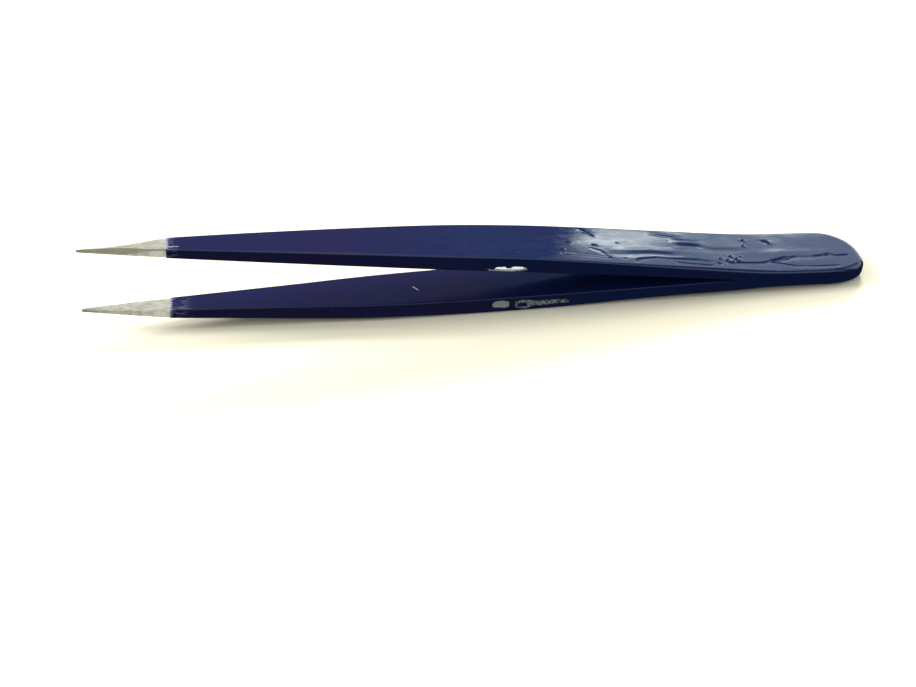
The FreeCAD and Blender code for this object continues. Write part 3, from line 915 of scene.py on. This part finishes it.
steel_look = steel_material()
weld_look = weld_material()
coat_looks = (
    coating_material("navy_coating_upper", SCRATCHES["upper"], 2.4, (-1.60, -1.20), 58.0, BRIGHT_PATCH),
    # the lower arm's worn patch: real wear, coloured with a painted reflection of dark surroundings in bare
    # steel
    coating_material("navy_coating_lower", SCRATCHES["lower"], 4.0, (-3.0, -2.0), 42.0, LOWER_WEAR_PAINTED_REFLECTION),
)
for piece, look in zip(coats, coat_looks):
    piece.data.materials.append(look)
for piece in blades:
    piece.data.materials.append(steel_look)
for node_name, node in frame["nodes"].items():
    node.data.materials.clear()
    if node_name == "spot_welds":
        node.data.materials.append(weld_look)
    else:
        node.data.materials.append(coat_looks[0] if "coating" in node_name else steel_look)


# ---------------------------------------------------------------- floor, light and camera


def resting_floor(pieces, balance_x):
    """Height at x = 0 and slope along X of the floor that the tweezers rest on."""
    points = np.concatenate([np.array([v.co for v in o.data.vertices]) for o in pieces])
    x, z = points[:, 0], points[:, 2]
    slopes = np.linspace(0.0, 0.12, 241)
    heights = [float(np.min(z - slope * (x - balance_x))) for slope in slopes]
    best = int(np.argmax(heights))
    return heights[best] - slopes[best] * balance_x, float(slopes[best])


# where the tweezers balance along X, in metres: the floor touches them on both sides of it
BALANCE_X = 0.0102
floor_height, floor_slope = resting_floor((lower_coat, lower_steel), BALANCE_X)


FLOOR_HALF_SIZE = 1.5
FLOOR_COLOR = (0.90, 0.87, 0.69, 1)


def make_floor():
    """A pale plane under the tweezers, which only the camera sees: the world lights them from below too."""
    square = ((-1, -1), (1, -1), (1, 1), (-1, 1))
    corners = [
        (x * FLOOR_HALF_SIZE, y * FLOOR_HALF_SIZE, floor_height + floor_slope * x * FLOOR_HALF_SIZE)
        for x, y in square
    ]
    mesh = bpy.data.meshes.new("floor")
    mesh.from_pydata(corners, [], [(0, 1, 2, 3)])
    floor = bpy.data.objects.new("floor", mesh)
    bpy.context.scene.collection.objects.link(floor)
    material, _, shader = new_material("pale_floor")
    shader.inputs["Base Color"].default_value = FLOOR_COLOR
    shader.inputs["Roughness"].default_value = 0.9
    mesh.materials.append(material)
    floor.visible_glossy = False
    floor.visible_diffuse = False
    floor.visible_shadow = False


# soft-edged panels that only reflections see: azimuths and elevations in degrees, each as
# (start, full, full, end), and radiance. Azimuth runs from +Y towards +X.
BRIGHT_WINDOW = ((20.2, 21.6, 23.2, 25.5), (24.2, 26.0, 30.0, 31.2), 5.8)
PANELS = (
    # the wall round the window
    ((20.0, 23.5, 60.0, 80.0), (16.0, 22.0, 35.0, 41.0), 1.22),
    ((25.4, 26.6, 29.0, 33.0), (20.0, 23.0, 27.0, 29.2), 1.0),
    # low and to the right, for the rim at the back of the heel
    ((24.5, 27.5, 48.0, 56.0), (-14.0, -8.0, 16.0, 22.0), 1.9),
    ((14.0, 19.0, 38.0, 44.0), (-40.0, -34.0, -16.0, -10.0), 0.3),
    # a lamp, for glints on the bubbles
    ((33.0, 36.0, 41.0, 45.0), (54.0, 56.0, 59.0, 61.0), 11.0),
    # overhead, all round
    ((-400.0, -390.0, 390.0, 400.0), (70.0, 80.0, 100.0, 110.0), 1.8),
    # right, behind the camera, and left
    ((58.0, 74.0, 105.0, 120.0), (4.0, 16.0, 48.0, 60.0), 1.6),
    ((130.0, 140.0, 181.0, 182.0), (8.0, 14.0, 46.0, 56.0), 1.1),
    ((-182.0, -181.0, -150.0, -140.0), (8.0, 14.0, 46.0, 56.0), 1.1),
    ((-130.0, -120.0, -80.0, -70.0), (18.0, 24.0, 46.0, 56.0), 2.0),
)
PANEL_TINT = (0.84, 1.05, 1.13, 1)
BRIGHT_WINDOW_TINT = (0.90, 1.02, 0.99, 1)
BACKDROP_RADIANCE = 1.2


def panel_glow(graph, azimuth, elevation, sides, heights, radiance):
    """Radiance of one panel in the direction of azimuth and elevation."""
    between = [
        graph.math("MULTIPLY", graph.band(angle, edges[0], edges[1]), graph.band(angle, edges[3], edges[2]))
        for angle, edges in ((azimuth, sides), (elevation, heights))
    ]
    return graph.math("MULTIPLY", graph.math("MULTIPLY", *between), radiance)


def make_world():
    """Even white light for the floor and the body colour, and a studio of soft panels for reflections."""
    world = bpy.data.worlds.new("studio")
    bpy.context.scene.world = world
    world.use_nodes = True
    graph = Graph(world.node_tree)
    backdrop = world.node_tree.nodes["Background"]
    direction = split(graph, graph.node("ShaderNodeTexCoord").outputs["Generated"])
    degrees = 180 / math.pi
    azimuth = graph.math("MULTIPLY", graph.math("ARCTAN2", direction[0], direction[1]), degrees)
    elevation = graph.math("MULTIPLY", graph.math("ARCSINE", direction[2]), degrees)
    view = graph.node("ShaderNodeCombineXYZ")
    graph.feed(view.inputs[0], graph.math("MULTIPLY", azimuth, 0.35))
    graph.feed(view.inputs[1], elevation)
    streaks = graph.band(graph.noise(view.outputs[0], 1.1, 2.0), 0.36, 0.62, 0.35, 1.25)
    bright = graph.math("MULTIPLY", panel_glow(graph, azimuth, elevation, *BRIGHT_WINDOW), streaks)
    glow = graph.math("ADD", graph.band(elevation, -8.0, 12.0, 0.03, 0.16), bright)
    for panel in PANELS:
        glow = graph.math("ADD", glow, panel_glow(graph, azimuth, elevation, *panel))
    ambient = graph.band(elevation, -6.0, 6.0, 0.20, 0.68)
    path = graph.node("ShaderNodeLightPath")
    strength = graph.node("ShaderNodeMix", data_type="FLOAT")
    graph.feed(strength.inputs[0], path.outputs["Is Glossy Ray"])
    graph.feed(strength.inputs[2], ambient)
    graph.feed(strength.inputs[3], glow)
    seen = graph.node("ShaderNodeMix", data_type="FLOAT")
    graph.feed(seen.inputs[0], path.outputs["Is Camera Ray"])
    graph.feed(seen.inputs[2], strength.outputs[0])
    graph.feed(seen.inputs[3], BACKDROP_RADIANCE)
    panel_color = graph.mix(graph.band(bright, 0.5, 3.0), PANEL_TINT, BRIGHT_WINDOW_TINT)
    tint = graph.mix(path.outputs["Is Glossy Ray"], (1, 1, 1, 1), panel_color)
    graph.feed(backdrop.inputs["Color"], tint)
    graph.feed(backdrop.inputs["Strength"], seen.outputs[0])


LAMP_DISTANCE = 0.6


def area_light(name, azimuth, elevation, size, power, color, only=None, glossy=False):
    """A square lamp aimed at the tweezers, lighting all or one collection. Angles are as for the panels."""
    data = bpy.data.lights.new(name, "AREA")
    data.shape = "SQUARE"
    data.size = size
    data.energy = power
    data.color = color
    lamp = bpy.data.objects.new(name, data)
    bpy.context.scene.collection.objects.link(lamp)
    turn, rise = math.radians(azimuth), math.radians(elevation)
    way = Vector((math.sin(turn) * math.cos(rise), math.cos(turn) * math.cos(rise), math.sin(rise)))
    lamp.location = Vector((0, 0, MEETING_Z)) + way * LAMP_DISTANCE
    lamp.rotation_mode = "QUATERNION"
    lamp.rotation_quaternion = (-way).to_track_quat("-Z", "Y")
    lamp.visible_camera = False
    lamp.visible_glossy = glossy
    if only is not None:
        lamp.light_linking.receiver_collection = only


def make_camera():
    """The camera looks from the near side and above, turned a little so that the points come nearer."""
    pitch = Matrix.Rotation(math.radians(3.348), 3, "Y")
    turn = Matrix.Rotation(math.radians(7.811), 3, "Z")
    rise = math.radians(38)
    look = Matrix(((1, 0, 0), (0, math.sin(rise), math.cos(rise)), (0, -math.cos(rise), math.sin(rise))))
    view = look @ turn @ pitch
    data = bpy.data.cameras.new("camera")
    data.sensor_width = 36
    data.lens = 62.13
    data.clip_start = 0.01
    camera = bpy.data.objects.new("camera", data)
    bpy.context.scene.collection.objects.link(camera)
    aim = Vector((3.826 * MM, 11.39 * MM, -240 * MM))
    camera.location = Vector((0, 0, MEETING_Z)) - view.transposed() @ aim
    camera.rotation_mode = "QUATERNION"
    camera.rotation_quaternion = view.transposed().to_quaternion()
    bpy.context.scene.camera = camera


bpy.context.scene.view_settings.view_transform = "Standard"
make_floor()
make_world()
make_camera()
steel_pieces = bpy.data.collections.new("steel_pieces")
for piece in blades:
    steel_pieces.objects.link(piece)
SHEEN_COLOR = (1.0, 0.99, 0.95)
area_light("window_light", 24, 30, 0.16, 3.6, (1.0, 0.99, 0.97))
area_light("left_light", -75, 34, 0.26, 3.8, (1.0, 0.98, 0.94))
area_light("steel_sheen_behind", -2, 36, 0.5, 0.8, SHEEN_COLOR, only=steel_pieces, glossy=True)
area_light("steel_sheen_below", 176, -36, 0.5, 1.1, SHEEN_COLOR, only=steel_pieces, glossy=True)
